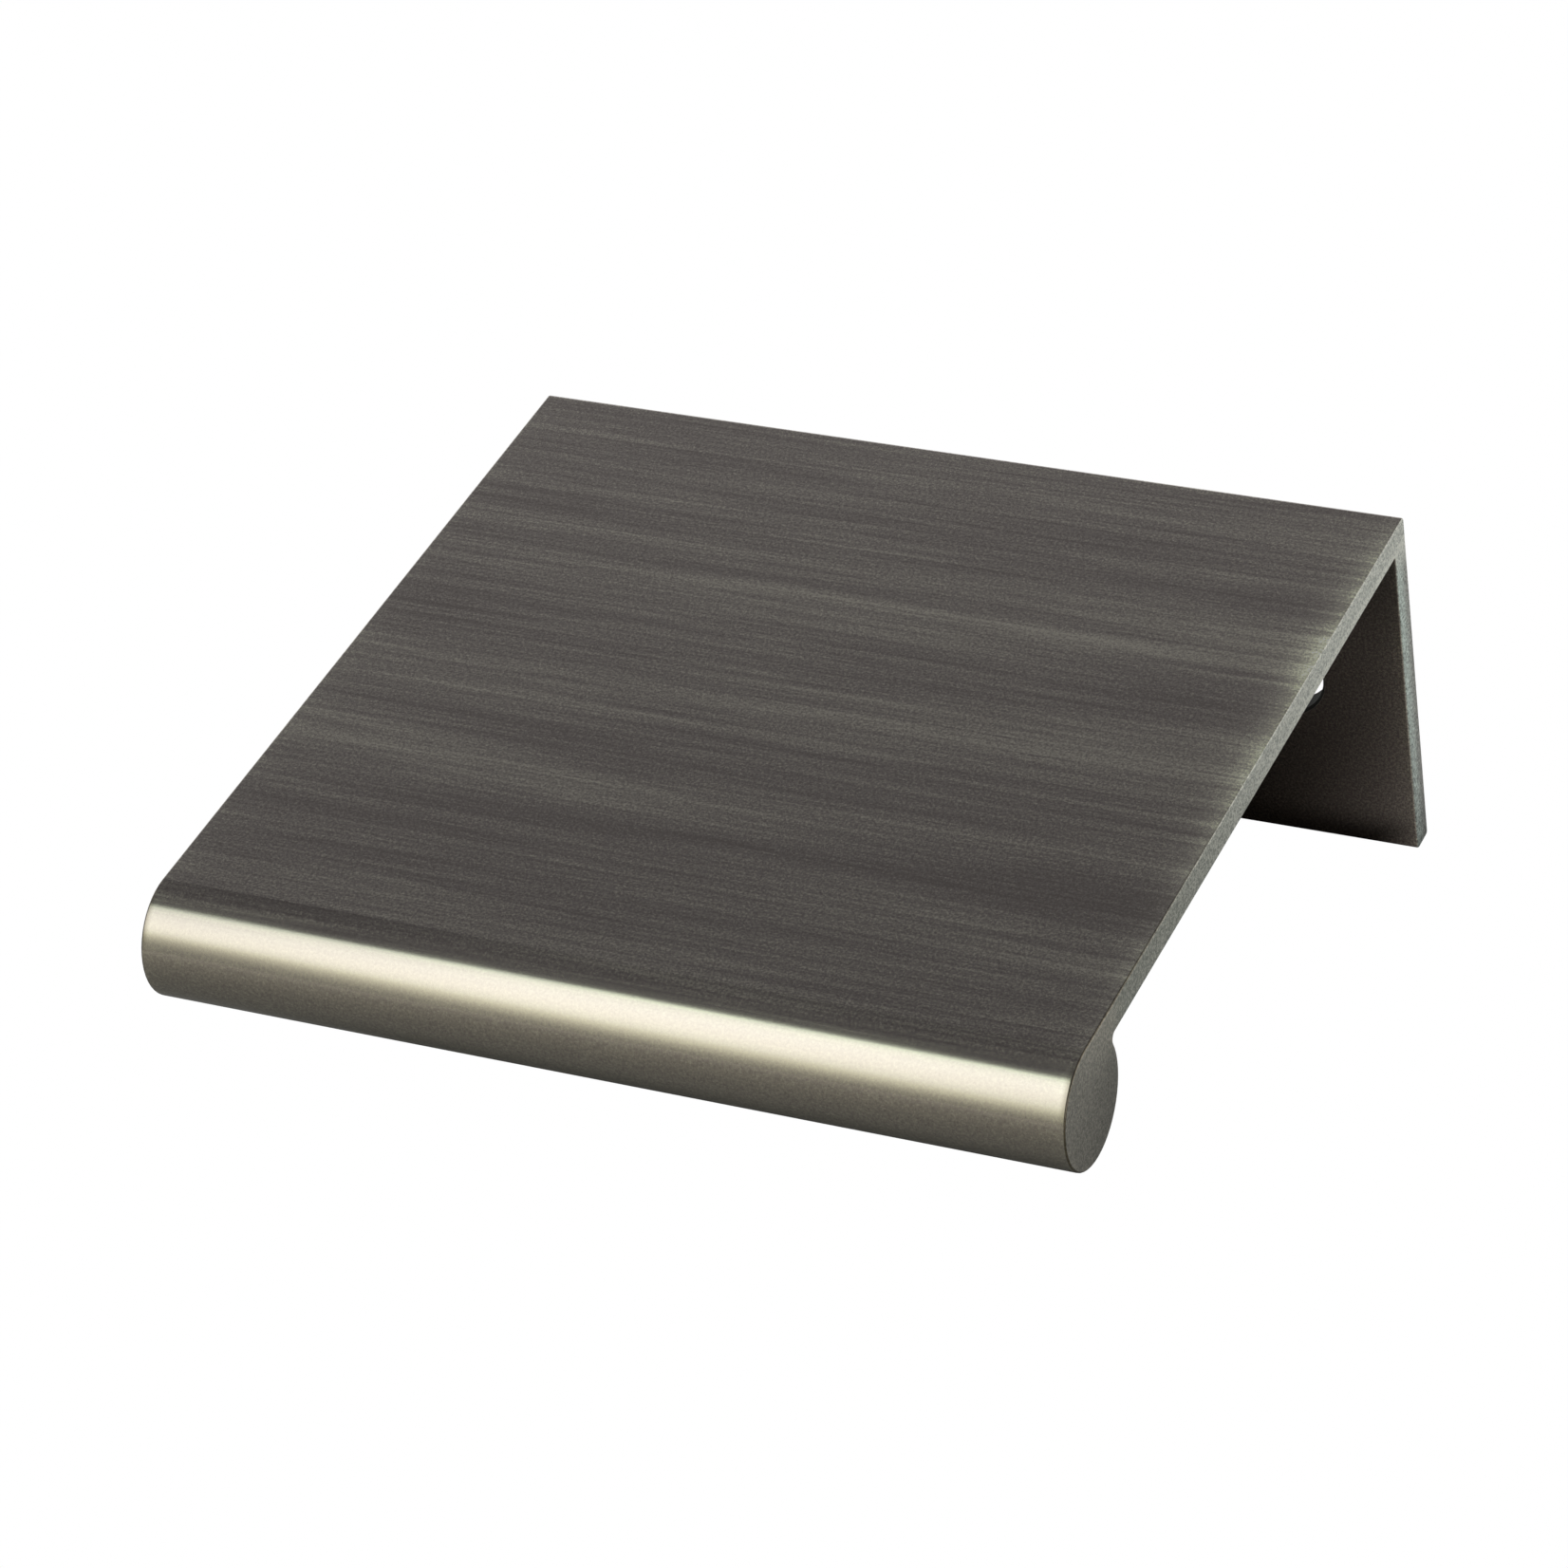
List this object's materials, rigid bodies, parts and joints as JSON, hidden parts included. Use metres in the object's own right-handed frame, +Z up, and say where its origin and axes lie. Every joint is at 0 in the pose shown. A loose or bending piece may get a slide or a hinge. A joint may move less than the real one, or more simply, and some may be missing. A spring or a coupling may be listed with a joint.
{
  "type": "tab pull",
  "caption": "Cabinet tab pull: a flat plate with a round finger bead along its front edge and a drilled mounting leg down its rear edge.",
  "frame": {"origin": "midway between the two screw holes, on the mounting face of the leg", "axes": "+X along the extrusion, -Y out through the front edge that the fingers hold, +Z up through the plate's top face"},
  "size_m": [0.045, 0.0433, 0.0188],
  "materials": {
    "pull_metal": "brushed along its length, satin, dark warm nickel tone"
  },
  "bodies": {
    "root": {"tab_pull": "pull_metal"}
  },
  "joints": []
}
